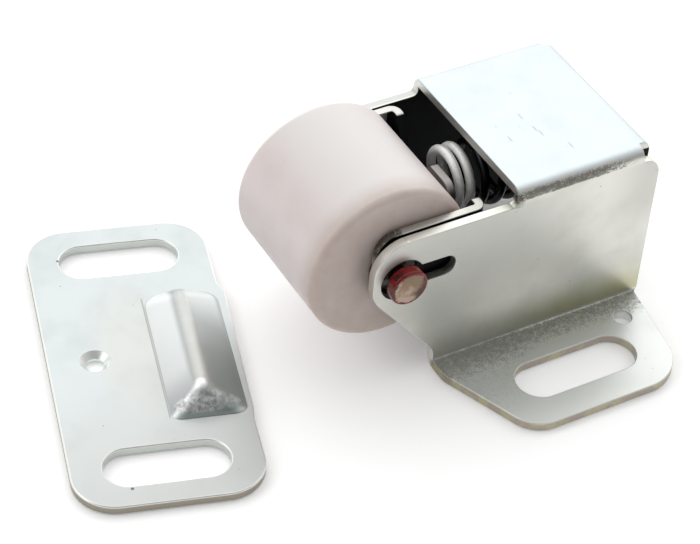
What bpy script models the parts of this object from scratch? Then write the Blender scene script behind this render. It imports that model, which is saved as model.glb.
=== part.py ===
"""Roller catch for a cupboard door: a folded steel housing, a sprung carrier with a plastic roller, and its strike plate.

Metres, +Z up. The catch lies on its two mounting flanges, as when it is screwed to a shelf, and the strike
plate lies in front of it. The roller pushes out towards -X. The origin is under the middle of the whole set.
"""

from math import acos, asin, atan2, ceil, cos, hypot, pi, radians, sin, tan

import bmesh
import bpy

# Housing: one sheet, folded
SHEET = 0.0015
BEND_INSIDE = 0.0003
HOUSING_WIDTH = 0.0291
HOUSING_HEIGHT = 0.0291
AXLE_DROP = 0.0095
NOSE_REACH = 0.0047
NOSE_TOP_RADIUS = 0.0052
NOSE_FOOT_RADIUS = 0.0050
NOSE_FOOT_DROP = 0.0006
FRONT_FOOT = 0.0034
FRONT_FILLET = 0.0030
WINDOW_DROP = 0.0028
WINDOW_CORNER = 0.0020
TOP_FRONT = 0.0181
REAR_EDGE = 0.04235
REAR_CORNER = 0.0030
REAR_CORNER_DROP = 0.0015
FLAP_INSET = 0.00095
FLAP_SIDE_GAP = 0.00035
FLAP_FOOT_HEIGHT = 0.0080
FLAP_CORNER = 0.0020
FLAP_RELIEF = 0.00025

# Keyhole in each side, round the axle's end
KEYHOLE_RADIUS = 0.0037
KEYWAY_WIDTH = 0.0034
KEYWAY_END = 0.0086

# Mounting flanges
FLANGE_DEPTH = 0.0182
FLANGE_FRONT = 0.0066
FLANGE_NECK = 0.0032
FLANGE_FRONT_TAPER = radians(22.0)
FLANGE_REAR_TAPER = radians(9.5)
FLANGE_FRONT_CORNER = 0.0048
FLANGE_REAR_CORNER = 0.0070
FLANGE_BLEND = 0.0030
FLANGE_REAR_STEP = 0.0006
SCREW_SLOT_WIDTH = 0.0073
SCREW_SLOT_LENGTH = 0.0197
SCREW_SLOT_MIDDLE = 0.0249
SCREW_SLOT_OUT = 0.0100
PILOT_RADIUS = 0.0014
PILOT_MIDDLE = 0.0369
PILOT_OUT = 0.0043

# Roller carrier: one thinner sheet, folded to a U
CARRIER_SHEET = 0.00125
CARRIER_GAP = 0.00035
CARRIER_TOP = 0.0068
CARRIER_FOOT = 0.0062
CARRIER_FRONT = 0.0034
CARRIER_REAR = 0.01415
CARRIER_TOP_CORNER = 0.0010
CARRIER_FOOT_CORNER = 0.0035
WEB_TOP = 0.0016
WEB_SHOULDER = 0.0009
WEB_CORNER = 0.0012
EAR_TOP = 0.0046
EAR_NEAR_SHARE = 0.44
EAR_FAR_SHARE = 0.07
EAR_NEAR_CORNER = 0.0034
EAR_FAR_CORNER = 0.0005

# Roller and axle
ROLLER_RADIUS = 0.0126
ROLLER_EDGE = 0.0011
END_GAP = 0.0003
BORE_GAP = 0.0003
BORE_CHAMFER = 0.0005
AXLE_RADIUS = 0.0029
AXLE_HOLE_GAP = 0.0003
AXLE_NECK_RADIUS = 0.0015
AXLE_HEAD_OUT = 0.0020
AXLE_HEAD_GAP = 0.00035
AXLE_HEAD_EDGE = 0.0003

# Spring between the carrier and the housing's rear flap
SPRING_RADIUS = 0.0047
SPRING_WIRE = 0.0014
SPRING_ASIDE = 0.00135
SPRING_SEAT_GAP = 0.0003
SPRING_TURNS = 9.4
SPRING_END_TURNS = 1.9
SPRING_END_GAP = 0.00045
SPRING_FIRST_ANGLE = radians(240.0)

# Strike plate: one sheet with a pressed ridge
STRIKE_SHEET = 0.0015
STRIKE_LENGTH = 0.0564
STRIKE_WIDTH = 0.0270
STRIKE_CORNER = 0.0061
STRIKE_EDGE_ROUND = 0.0003
STRIKE_SLOT_WIDTH = 0.0071
STRIKE_SLOT_MARGIN = 0.00465
STRIKE_SLOT_INSET = 0.0071
STRIKE_HOLE_RADIUS = 0.00135
STRIKE_HOLE_OUT = 0.0067
STRIKE_SINK_RADIUS = 0.0022
RIDGE_LENGTH = 0.0262
RIDGE_ASIDE = 0.0005
RIDGE_FOOT = 0.0018
RIDGE_LIP = 0.0006
RIDGE_BULGE = 0.0008
RIDGE_BULGE_NEAR_SHARE = 0.4
RIDGE_BULGE_RUN = 0.0020
RIDGE_BULGE_CORNER = 0.0030
RIDGE_RISE = 0.0044
RIDGE_CREST_SHARE = 0.44
RIDGE_END = 0.0032
RIDGE_ROUND = 0.0012
RIDGE_WALL = 0.0005
STRIKE_AHEAD = 0.0306
STRIKE_ASIDE = 0.0041
STRIKE_TURN = radians(-16.5)

# Making
OVERRUN = 0.002
OVERLAP = 0.0005
EAVES_UNDER = 0.0002
ARC_STEP = radians(10.0)
BEND_STEP = radians(15.0)
TURN_STEPS = 64
WIRE_STEPS = 16
SAME_POINT = 0.000002
CREASE = radians(22.0)

STEEL = (0.74, 0.75, 0.73, 1.0)
NYLON = (0.85, 0.80, 0.79, 1.0)
RED = (0.42, 0.02, 0.02, 1.0)

AXLE_HEIGHT = HOUSING_HEIGHT - AXLE_DROP
BEND_OUTSIDE = BEND_INSIDE + SHEET
BEND_MIDDLE = BEND_INSIDE + SHEET / 2
HALF_WIDTH = HOUSING_WIDTH / 2
FLAP_FACE = REAR_EDGE - FLAP_INSET
CARRIER_HALF = HALF_WIDTH - SHEET - CARRIER_GAP
ARM_INSIDE = CARRIER_HALF - CARRIER_SHEET


def clear_scene():
    for item in list(bpy.data.objects):
        bpy.data.objects.remove(item, do_unlink=True)


def new_collection(name):
    group = bpy.data.collections.new(name)
    bpy.context.scene.collection.children.link(group)
    return group


def new_material(name, colour, roughness, metallic):
    material = bpy.data.materials.new(name)
    material.use_nodes = True
    shader = material.node_tree.nodes["Principled BSDF"]
    shader.inputs["Base Color"].default_value = colour
    shader.inputs["Roughness"].default_value = roughness
    shader.inputs["Metallic"].default_value = metallic
    return material


def new_empty(group, name, place, turn=0.0, parent=None):
    empty = bpy.data.objects.new(name, None)
    empty.location = place
    empty.rotation_euler = (0.0, 0.0, turn)
    empty.parent = parent
    group.objects.link(empty)
    return empty


def crease(mesh):
    mesh.shade_smooth()
    mesh.set_sharp_from_angle(angle=CREASE)


def new_part(group, name, mesh, material, parent, place=(0.0, 0.0, 0.0), turn=(0.0, 0.0, 0.0)):
    part = bpy.data.objects.new(name, mesh)
    mesh.name = name
    mesh.materials.clear()
    mesh.materials.append(material)
    crease(mesh)
    part.location = place
    part.rotation_euler = turn
    part.parent = parent
    group.objects.link(part)
    return part


def arc(middle, radius, start, end):
    """Points on an arc from one angle to the other, both ends included."""
    steps = max(2, ceil(abs(end - start) / ARC_STEP))
    angles = [start + (end - start) * step / steps for step in range(steps + 1)]
    return [(middle[0] + radius * cos(angle), middle[1] + radius * sin(angle)) for angle in angles]


def fillet(before, corner, after, radius, most_share=0.95):
    """The arc that rounds a corner between its two neighbours, using at most this share of the way to each."""
    to_before = (before[0] - corner[0], before[1] - corner[1])
    to_after = (after[0] - corner[0], after[1] - corner[1])
    long_before = hypot(*to_before)
    long_after = hypot(*to_after)
    unit_before = (to_before[0] / long_before, to_before[1] / long_before)
    unit_after = (to_after[0] / long_after, to_after[1] / long_after)
    bisector = (unit_before[0] + unit_after[0], unit_before[1] + unit_after[1])
    long_bisector = hypot(*bisector)
    half_angle = asin(abs(unit_before[0] * bisector[1] - unit_before[1] * bisector[0]) / long_bisector)
    reach = min(radius / tan(half_angle), most_share * long_before, most_share * long_after)
    radius = reach * tan(half_angle)
    far = radius / sin(half_angle) / long_bisector
    middle = (corner[0] + bisector[0] * far, corner[1] + bisector[1] * far)
    first = (corner[0] + unit_before[0] * reach, corner[1] + unit_before[1] * reach)
    last = (corner[0] + unit_after[0] * reach, corner[1] + unit_after[1] * reach)
    turn = pi - 2 * half_angle
    steps = max(2, ceil(turn / ARC_STEP))
    side = (first[0] - middle[0], first[1] - middle[1])
    left = (side[0] * (last[1] - middle[1]) - side[1] * (last[0] - middle[0])) > 0
    points = []
    for step in range(steps + 1):
        angle = turn * step / steps * (1 if left else -1)
        points.append((
            middle[0] + side[0] * cos(angle) - side[1] * sin(angle),
            middle[1] + side[0] * sin(angle) + side[1] * cos(angle),
        ))
    return points


def rounded(corners):
    """An outline from (x, y, radius) corners, each rounded by its own radius."""
    points = []
    count = len(corners)
    for index, (x, y, radius) in enumerate(corners):
        before = corners[index - 1][:2]
        after = corners[(index + 1) % count][:2]
        points += fillet(before, (x, y), after, radius, 0.48)
    return points


def slot(middle, length, width, along):
    """A slot with round ends, lying along the first axis (0) or the second (1)."""
    reach = (length - width) / 2
    start = -pi / 2 if along == 0 else 0.0
    ahead = (reach, 0.0) if along == 0 else (0.0, reach)
    first = (middle[0] + ahead[0], middle[1] + ahead[1])
    second = (middle[0] - ahead[0], middle[1] - ahead[1])
    return arc(first, width / 2, start, start + pi) + arc(second, width / 2, start + pi, start + 2 * pi)


def circle(middle, radius):
    return arc(middle, radius, 0.0, 2 * pi)[:-1]


def slab(outlines, thickness):
    """A flat blank: the first outline filled, the others left as holes, half its thickness each side of z = 0."""
    curve = bpy.data.curves.new("blank", "CURVE")
    curve.dimensions = "2D"
    curve.fill_mode = "BOTH"
    curve.extrude = thickness / 2
    for outline in outlines:
        spline = curve.splines.new("POLY")
        spline.points.add(len(outline) - 1)
        for point, (x, y) in zip(spline.points, outline):
            point.co = (x, y, 0.0, 1.0)
        spline.use_cyclic_u = True
    return mesh_of_curve(curve)


def mesh_of_curve(curve):
    guide = bpy.data.objects.new("guide", curve)
    bpy.context.scene.collection.objects.link(guide)
    graph = bpy.context.evaluated_depsgraph_get()
    mesh = bpy.data.meshes.new_from_object(guide.evaluated_get(graph))
    bpy.data.objects.remove(guide, do_unlink=True)
    work = bmesh.new()
    work.from_mesh(mesh)
    bmesh.ops.remove_doubles(work, verts=work.verts, dist=SAME_POINT)
    bmesh.ops.recalc_face_normals(work, faces=work.faces)
    work.to_mesh(mesh)
    work.free()
    return mesh


def form(mesh, cuts, shape):
    """Cuts the blank across at each (axis, place), then moves every point as the press or the fold does."""
    work = bmesh.new()
    work.from_mesh(mesh)
    for axis, place in cuts:
        at = [0.0, 0.0, 0.0]
        normal = [0.0, 0.0, 0.0]
        at[axis] = place
        normal[axis] = 1.0
        everything = work.verts[:] + work.edges[:] + work.faces[:]
        bmesh.ops.bisect_plane(work, geom=everything, dist=SAME_POINT, plane_co=at, plane_no=normal)
    for point in work.verts:
        point.co = shape(*point.co)
    bmesh.ops.remove_doubles(work, verts=work.verts, dist=SAME_POINT)
    bmesh.ops.recalc_face_normals(work, faces=work.faces)
    work.to_mesh(mesh)
    work.free()
    return mesh


def bend_cuts(axis, start, length):
    steps = ceil(pi / 2 / BEND_STEP)
    return [(axis, start + length * step / steps) for step in range(steps + 1)]


def turned(group, name, profile, material, parent, place, turn, steps=TURN_STEPS):
    """A turned solid: (radius, height) points run from the top down the outer side, closed on themselves."""
    mesh = bpy.data.meshes.new(name)
    points = [(radius, 0.0, height) for radius, height in profile]
    edges = [(index, (index + 1) % len(points)) for index in range(len(points))]
    if profile[0][0] == 0.0:
        edges = edges[:-1]
    mesh.from_pydata(points, edges, [])
    part = new_part(group, name, mesh, material, parent, place, turn)
    screw = part.modifiers.new("turn", "SCREW")
    screw.axis = "Z"
    screw.steps = steps
    screw.render_steps = steps
    screw.use_merge_vertices = True
    screw.merge_threshold = SAME_POINT
    screw.use_smooth_shade = True
    return part


def wall_place(height):
    """How far out on the flat blank a point of the side lies, from its height above the shelf."""
    bend = BEND_MIDDLE * pi / 2
    return HALF_WIDTH - BEND_OUTSIDE + bend + (HOUSING_HEIGHT - BEND_OUTSIDE - height)


def flange_place(out):
    """How far out on the flat blank a point of the flange lies, from its distance to the side's outer face."""
    bend = BEND_MIDDLE * pi / 2
    return wall_place(BEND_OUTSIDE) + bend + out - BEND_INSIDE


def side_edge():
    """The front edge of the blank's half, from the top plate's middle to the flange's outer edge."""
    side_top = HOUSING_HEIGHT - WINDOW_DROP
    nose_top = (NOSE_TOP_RADIUS - NOSE_REACH, side_top - NOSE_TOP_RADIUS)
    nose_foot = (NOSE_FOOT_RADIUS - NOSE_REACH, AXLE_HEIGHT - NOSE_FOOT_DROP)
    window = [(TOP_FRONT, side_top + WINDOW_CORNER)]
    window += arc((TOP_FRONT - WINDOW_CORNER, side_top + WINDOW_CORNER), WINDOW_CORNER, 0.0, -pi / 2)[1:]
    ahead = FLANGE_FRONT - nose_foot[0]
    below = nose_foot[1] - FRONT_FOOT
    slope = pi - atan2(below, ahead) - acos(NOSE_FOOT_RADIUS / hypot(ahead, below))
    nose = arc(nose_top, NOSE_TOP_RADIUS, pi / 2, pi)
    nose += arc(nose_foot, NOSE_FOOT_RADIUS, pi, pi + slope)
    points = [(x, wall_place(z)) for x, z in window + nose]
    corner = (FLANGE_FRONT, wall_place(FRONT_FOOT))
    neck = (FLANGE_FRONT, flange_place(FLANGE_NECK))
    points += fillet(points[-1], corner, neck, FRONT_FILLET)
    taper_end = FLANGE_FRONT + (FLANGE_DEPTH - FLANGE_NECK) * tan(FLANGE_FRONT_TAPER)
    outer = (taper_end, flange_place(FLANGE_DEPTH))
    points += fillet(points[-1], neck, outer, FLANGE_BLEND)
    points += fillet(neck, outer, (SCREW_SLOT_MIDDLE, outer[1]), FLANGE_FRONT_CORNER)
    return points


def rear_edge():
    """The rear edge of the blank's half, from the flange's outer edge to the flap's middle."""
    heel = REAR_EDGE - FLANGE_REAR_STEP
    outer = (heel - FLANGE_DEPTH * tan(FLANGE_REAR_TAPER), flange_place(FLANGE_DEPTH))
    neck = (heel, flange_place(BEND_INSIDE))
    points = fillet((SCREW_SLOT_MIDDLE, outer[1]), outer, neck, FLANGE_REAR_CORNER)
    side_heel = (REAR_EDGE, wall_place(BEND_OUTSIDE))
    points += [neck, side_heel]
    corner_top = HOUSING_HEIGHT - REAR_CORNER_DROP
    corner = (REAR_EDGE - REAR_CORNER, corner_top - REAR_CORNER)
    points += [(x, wall_place(z)) for x, z in arc(corner, REAR_CORNER, 0.0, pi / 2)]
    flap_half = HALF_WIDTH - SHEET - FLAP_SIDE_GAP
    bend_start = FLAP_FACE - BEND_OUTSIDE
    flap_end = bend_start + BEND_MIDDLE * pi / 2 + HOUSING_HEIGHT - BEND_OUTSIDE - FLAP_FOOT_HEIGHT
    relief = bend_start - FLAP_RELIEF
    points += [(relief, points[-1][1]), (relief, flap_half)]
    points += fillet((relief, flap_half), (flap_end, flap_half), (flap_end, 0.0), FLAP_CORNER)
    return points


def keyhole(side):
    """The round hole that the axle's head goes through, and the narrow way that its neck runs in."""
    open_angle = asin(KEYWAY_WIDTH / 2 / KEYHOLE_RADIUS)
    points = arc((0.0, AXLE_HEIGHT), KEYHOLE_RADIUS, open_angle, 2 * pi - open_angle)
    points += arc((KEYWAY_END - KEYWAY_WIDTH / 2, AXLE_HEIGHT), KEYWAY_WIDTH / 2, -pi / 2, pi / 2)
    return [(x, side * wall_place(z)) for x, z in points]


def housing_fold(x, across, lift):
    """Folds the blank: sides down, flanges out, and the rear flap down between the sides."""
    side = 1.0 if across >= 0.0 else -1.0
    out = abs(across)
    bend = BEND_MIDDLE * pi / 2
    flat_end = HALF_WIDTH - BEND_OUTSIDE
    wall_start = wall_place(HOUSING_HEIGHT - BEND_OUTSIDE)
    wall_end = wall_place(BEND_OUTSIDE)
    top_level = HOUSING_HEIGHT - SHEET / 2
    if out <= flat_end:
        flap_start = FLAP_FACE - BEND_OUTSIDE
        past = x - flap_start
        if past <= 0.0:
            return (x, across, top_level + lift)
        if past <= bend:
            angle = past / BEND_MIDDLE
            reach = BEND_MIDDLE + lift
            return (flap_start + reach * sin(angle), across, HOUSING_HEIGHT - BEND_OUTSIDE + reach * cos(angle))
        return (FLAP_FACE - SHEET / 2 + lift, across, HOUSING_HEIGHT - BEND_OUTSIDE - (past - bend))
    if out <= wall_start:
        angle = (out - flat_end) / BEND_MIDDLE
        reach = BEND_MIDDLE + lift
        return (x, side * (flat_end + reach * sin(angle)), HOUSING_HEIGHT - BEND_OUTSIDE + reach * cos(angle))
    if out <= wall_end:
        height = HOUSING_HEIGHT - BEND_OUTSIDE - (out - wall_start)
        return (x, side * (HALF_WIDTH - SHEET / 2 + lift), height)
    if out <= wall_end + bend:
        angle = (out - wall_end) / BEND_MIDDLE
        reach = BEND_MIDDLE - lift
        return (x, side * (HALF_WIDTH + BEND_INSIDE - reach * cos(angle)), BEND_OUTSIDE - reach * sin(angle))
    return (x, side * (HALF_WIDTH + BEND_INSIDE + out - wall_end - bend), SHEET / 2 + lift)


def make_housing(group, material, parent):
    half = side_edge() + rear_edge()
    outline = half + [(x, -across) for x, across in reversed(half)]
    holes = []
    for side in (1.0, -1.0):
        screw_place = (SCREW_SLOT_MIDDLE, side * flange_place(SCREW_SLOT_OUT))
        holes.append(keyhole(side))
        holes.append(slot(screw_place, SCREW_SLOT_LENGTH, SCREW_SLOT_WIDTH, 0))
        holes.append(circle((PILOT_MIDDLE, side * flange_place(PILOT_OUT)), PILOT_RADIUS))
    mesh = slab([outline] + holes, SHEET)
    bend = BEND_MIDDLE * pi / 2
    cuts = bend_cuts(0, FLAP_FACE - BEND_OUTSIDE, bend)
    for side in (1.0, -1.0):
        cuts += bend_cuts(1, side * (HALF_WIDTH - BEND_OUTSIDE), side * bend)
        cuts += bend_cuts(1, side * wall_place(BEND_OUTSIDE), side * bend)
    form(mesh, cuts, housing_fold)
    return new_part(group, "housing", mesh, material, parent)


def carrier_fold(along, height, lift):
    """Folds the carrier's strip to a U: the web behind, an arm forward on each side."""
    side = 1.0 if along >= 0.0 else -1.0
    out = abs(along)
    outside = BEND_INSIDE + CARRIER_SHEET
    middle = BEND_INSIDE + CARRIER_SHEET / 2
    web_end = CARRIER_HALF - outside
    bend = middle * pi / 2
    if out <= web_end:
        return (CARRIER_REAR - CARRIER_SHEET / 2 + lift, along, height)
    if out <= web_end + bend:
        angle = (out - web_end) / middle
        reach = middle + lift
        return (CARRIER_REAR - outside + reach * cos(angle), side * (web_end + reach * sin(angle)), height)
    return (CARRIER_REAR - outside - (out - web_end - bend), side * (CARRIER_HALF - CARRIER_SHEET / 2 + lift), height)


def make_carrier(group, material, parent):
    """The carrier is drawn about the axle, because its parent lies on the axle."""
    outside = BEND_INSIDE + CARRIER_SHEET
    middle = BEND_INSIDE + CARRIER_SHEET / 2
    web_end = CARRIER_HALF - outside
    bend = middle * pi / 2
    arm_end = web_end + bend + CARRIER_REAR - outside + CARRIER_FRONT
    axle_place = arm_end - CARRIER_FRONT
    shoulder = web_end - WEB_SHOULDER
    slope_foot = shoulder - (CARRIER_TOP - WEB_TOP) / 2
    half = [(slope_foot, WEB_TOP, WEB_CORNER), (shoulder, CARRIER_TOP, WEB_CORNER / 2)]
    half += [(arm_end, CARRIER_TOP, CARRIER_TOP_CORNER), (arm_end, -CARRIER_FOOT, CARRIER_FOOT_CORNER)]
    other = [(-along, height, radius) for along, height, radius in reversed(half)]
    ear_near = -ARM_INSIDE * EAR_NEAR_SHARE
    ear_far = ARM_INSIDE * EAR_FAR_SHARE
    ear = [(ear_near, WEB_TOP, EAR_FAR_CORNER), (ear_near, EAR_TOP, EAR_NEAR_CORNER)]
    ear += [(ear_far, EAR_TOP, EAR_FAR_CORNER), (ear_far, WEB_TOP, EAR_FAR_CORNER)]
    holes = [circle((side * axle_place, 0.0), AXLE_RADIUS + AXLE_HOLE_GAP) for side in (1.0, -1.0)]
    mesh = slab([rounded(half + other + ear)] + holes, CARRIER_SHEET)
    cuts = []
    for side in (1.0, -1.0):
        cuts += bend_cuts(0, side * web_end, side * bend)
    form(mesh, cuts, carrier_fold)
    return new_part(group, "roller_carrier", mesh, material, parent)


def make_axle(group, material, parent):
    end = HALF_WIDTH + AXLE_HEAD_OUT
    head = HALF_WIDTH + AXLE_HEAD_GAP
    shank = CARRIER_HALF + CARRIER_GAP / 2
    edge = AXLE_HEAD_EDGE
    half = [(0.0, end), (AXLE_RADIUS - edge, end), (AXLE_RADIUS, end - edge), (AXLE_RADIUS, head)]
    half += [(AXLE_NECK_RADIUS, head), (AXLE_NECK_RADIUS, shank), (AXLE_RADIUS, shank)]
    profile = half + [(radius, -height) for radius, height in reversed(half)]
    return turned(group, "axle", profile, material, parent, (0.0, 0.0, 0.0), (pi / 2, 0.0, 0.0), TURN_STEPS // 2)


def make_roller(group, material, parent):
    half = ARM_INSIDE - END_GAP
    bore = AXLE_RADIUS + BORE_GAP
    edge = ROLLER_EDGE
    corner = arc((ROLLER_RADIUS - edge, half - edge), edge, pi / 2, 0.0)
    upper = [(bore + BORE_CHAMFER, half)] + corner
    lower = [(radius, -height) for radius, height in reversed(upper)]
    profile = upper + lower + [(bore, BORE_CHAMFER - half), (bore, half - BORE_CHAMFER)]
    return turned(group, "roller", profile, material, parent, (0.0, 0.0, 0.0), (pi / 2, 0.0, 0.0))


def spring_rise(turn, pitch, end_pitch):
    """How far along its axis the wire has come after this many turns: close at both ends, open between."""
    body = SPRING_TURNS - 2 * SPRING_END_TURNS
    first = min(turn, SPRING_END_TURNS)
    middle = min(max(turn - SPRING_END_TURNS, 0.0), body)
    last = max(turn - SPRING_END_TURNS - body, 0.0)
    return (first + last) * end_pitch + middle * pitch


def make_spring(group, material, parent):
    start = CARRIER_REAR + SPRING_SEAT_GAP + SPRING_WIRE / 2
    end = FLAP_FACE - SHEET - SPRING_SEAT_GAP - SPRING_WIRE / 2
    end_pitch = SPRING_WIRE + SPRING_END_GAP
    body = SPRING_TURNS - 2 * SPRING_END_TURNS
    pitch = (end - start - 2 * SPRING_END_TURNS * end_pitch) / body
    curve = bpy.data.curves.new("compression_spring", "CURVE")
    curve.dimensions = "3D"
    curve.bevel_depth = SPRING_WIRE / 2
    curve.bevel_resolution = 2
    curve.use_fill_caps = True
    count = ceil(SPRING_TURNS * WIRE_STEPS)
    spline = curve.splines.new("POLY")
    spline.points.add(count)
    for index, point in enumerate(spline.points):
        turn = SPRING_TURNS * index / count
        angle = SPRING_FIRST_ANGLE - 2 * pi * turn
        x = start + spring_rise(turn, pitch, end_pitch)
        point.co = (x, SPRING_ASIDE - SPRING_RADIUS * sin(angle), AXLE_HEIGHT + SPRING_RADIUS * cos(angle), 1.0)
    mesh = mesh_of_curve(curve)
    return new_part(group, "compression_spring", mesh, material, parent)


def roof(name, group, material, parent, low, high, base, crest, end):
    """A hipped roof over a rectangle, standing on a thin base, with its crest and its four hips rounded."""
    (low_x, low_y), (high_x, high_y) = low, high
    foot, eaves, top = base
    corners = [(low_x, low_y), (high_x, low_y), (high_x, high_y), (low_x, high_y)]
    work = bmesh.new()
    lower = [work.verts.new((x, y, foot)) for x, y in corners]
    upper = [work.verts.new((x, y, eaves)) for x, y in corners]
    near = work.verts.new((crest, low_y + end, top))
    far = work.verts.new((crest, high_y - end, top))
    work.faces.new(lower)
    for index in range(len(corners)):
        after = (index + 1) % len(corners)
        work.faces.new((lower[index], lower[after], upper[after], upper[index]))
    work.faces.new((upper[0], upper[1], near))
    work.faces.new((upper[1], upper[2], far, near))
    work.faces.new((upper[2], upper[3], far))
    work.faces.new((upper[3], upper[0], near, far))
    ridges = [edge for edge in work.edges if near in edge.verts or far in edge.verts]
    bmesh.ops.bevel(work, geom=ridges, offset=RIDGE_ROUND, segments=4, affect="EDGES", profile=0.5, clamp_overlap=True)
    bmesh.ops.remove_doubles(work, verts=work.verts, dist=SAME_POINT)
    bmesh.ops.recalc_face_normals(work, faces=work.faces)
    mesh = bpy.data.meshes.new(name)
    work.to_mesh(mesh)
    work.free()
    return helper(new_part(group, name, mesh, material, parent))


def helper(tool):
    tool.hide_render = True
    tool.display_type = "WIRE"
    return tool


def combine(part, tool, operation):
    step = part.modifiers.new(tool.name, "BOOLEAN")
    step.operation = operation
    step.solver = "EXACT"
    step.object = tool


def settle(part):
    """Keeps the part's mesh as its steps leave it, and shades it anew with its creases sharp."""
    graph = bpy.context.evaluated_depsgraph_get()
    mesh = bpy.data.meshes.new_from_object(part.evaluated_get(graph))
    part.modifiers.clear()
    part.data = mesh
    mesh.name = part.name
    crease(mesh)
    return part


def strike_outline():
    """The plate's edge, with the slight bulge that the press leaves where the ridge runs out at the edge."""
    half_width = STRIKE_WIDTH / 2
    half_length = STRIKE_LENGTH / 2
    ridge_far = RIDGE_LENGTH / 2 - RIDGE_ASIDE
    ridge_near = -RIDGE_LENGTH / 2 - RIDGE_ASIDE
    corners = [
        (half_width, half_length, STRIKE_CORNER),
        (-half_width, half_length, STRIKE_CORNER),
        (-half_width, -half_length, STRIKE_CORNER),
        (half_width, -half_length, STRIKE_CORNER),
        (half_width, ridge_near - RIDGE_BULGE_RUN / 2, RIDGE_BULGE_CORNER),
        (half_width + RIDGE_BULGE * RIDGE_BULGE_NEAR_SHARE, ridge_near + RIDGE_BULGE_RUN / 2, RIDGE_BULGE_CORNER),
        (half_width + RIDGE_BULGE, ridge_far - RIDGE_BULGE_RUN / 2, RIDGE_BULGE_CORNER),
        (half_width, ridge_far + RIDGE_BULGE_RUN / 2, RIDGE_BULGE_CORNER),
    ]
    return rounded(corners)


def make_strike(group, helpers, material, parent):
    half_width = STRIKE_WIDTH / 2
    outlines = [strike_outline()]
    for end in (1.0, -1.0):
        place = (0.0, end * (STRIKE_LENGTH / 2 - STRIKE_SLOT_INSET))
        outlines.append(slot(place, STRIKE_WIDTH - 2 * STRIKE_SLOT_MARGIN, STRIKE_SLOT_WIDTH, 0))
    outlines.append(circle((-STRIKE_HOLE_OUT, 0.0), STRIKE_HOLE_RADIUS))
    mesh = form(slab(outlines, STRIKE_SHEET), [], lambda x, y, z: (x, y, z + STRIKE_SHEET / 2))
    plate = new_part(group, "strike_plate", mesh, material, parent)
    edge = plate.modifiers.new("rolled_edge", "BEVEL")
    edge.width = STRIKE_EDGE_ROUND
    edge.segments = 2
    edge.limit_method = "ANGLE"
    edge.angle_limit = radians(60.0)
    far_foot = half_width + RIDGE_BULGE * RIDGE_BULGE_NEAR_SHARE - RIDGE_LIP
    crest = RIDGE_FOOT + (far_foot - RIDGE_FOOT) * RIDGE_CREST_SHARE
    near_end = -RIDGE_LENGTH / 2 - RIDGE_ASIDE
    far_end = RIDGE_LENGTH / 2 - RIDGE_ASIDE
    low = (RIDGE_FOOT, near_end)
    high = (far_foot, far_end)
    levels = (STRIKE_SHEET - OVERLAP, STRIKE_SHEET - EAVES_UNDER, STRIKE_SHEET + RIDGE_RISE)
    outside = roof("ridge_outside", helpers, material, parent, low, high, levels, crest, RIDGE_END)
    low = (RIDGE_FOOT + RIDGE_WALL, near_end + 2 * RIDGE_WALL)
    high = (far_foot - RIDGE_WALL, far_end - 2 * RIDGE_WALL)
    levels = (-OVERRUN, -EAVES_UNDER, RIDGE_RISE - RIDGE_WALL)
    inside = roof("ridge_inside", helpers, material, parent, low, high, levels, crest, RIDGE_END)
    depth = STRIKE_SINK_RADIUS - STRIKE_HOLE_RADIUS
    sink = [(0.0, STRIKE_SHEET + OVERRUN), (STRIKE_SINK_RADIUS + OVERRUN, STRIKE_SHEET + OVERRUN)]
    sink += [(0.0, STRIKE_SHEET - depth - STRIKE_HOLE_RADIUS)]
    place = (-STRIKE_HOLE_OUT, 0.0, 0.0)
    cone = helper(turned(helpers, "hole_sink", sink, material, parent, place, (0.0, 0.0, 0.0), WIRE_STEPS * 2))
    combine(plate, outside, "UNION")
    combine(plate, inside, "DIFFERENCE")
    combine(plate, cone, "DIFFERENCE")
    return settle(plate)


def set_middle():
    """The point under the middle of the whole set, measured from the catch's axle."""
    reach = STRIKE_LENGTH / 2 - STRIKE_CORNER
    spread = STRIKE_WIDTH / 2 - STRIKE_CORNER
    strike_x = reach * abs(sin(STRIKE_TURN)) + spread * cos(STRIKE_TURN) + STRIKE_CORNER
    strike_y = reach * cos(STRIKE_TURN) + spread * abs(sin(STRIKE_TURN)) + STRIKE_CORNER
    catch_y = HALF_WIDTH + FLANGE_DEPTH
    low_y = min(-catch_y, STRIKE_ASIDE - strike_y)
    high_y = max(catch_y, STRIKE_ASIDE + strike_y)
    low_x = min(-ROLLER_RADIUS, -STRIKE_AHEAD - strike_x)
    return ((low_x + REAR_EDGE) / 2, (low_y + high_y) / 2)


def main():
    clear_scene()
    group = new_collection("roller_catch")
    helpers = new_collection("cutters")
    zinc = new_material("zinc_plated_steel", STEEL, 0.3, 1.0)
    wire = new_material("spring_wire", STEEL, 0.35, 1.0)
    nylon = new_material("white_nylon", NYLON, 0.45, 0.0)
    paint = new_material("red_marked_steel", RED, 0.3, 0.0)
    middle = set_middle()
    catch = new_empty(group, "catch_frame", (-middle[0], -middle[1], 0.0))
    axle_line = new_empty(group, "axle_line", (0.0, 0.0, AXLE_HEIGHT), parent=catch)
    strike_place = (-STRIKE_AHEAD - middle[0], STRIKE_ASIDE - middle[1], 0.0)
    strike = new_empty(group, "strike_frame", strike_place, STRIKE_TURN)
    make_housing(group, zinc, catch)
    make_carrier(group, zinc, axle_line)
    make_axle(group, paint, axle_line)
    make_roller(group, nylon, axle_line)
    make_spring(group, wire, catch)
    make_strike(group, helpers, zinc, strike)


main()
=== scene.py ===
from math import cos, pi, radians, sin, tan

import bmesh
import bpy
from mathutils import Matrix, Vector


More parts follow.
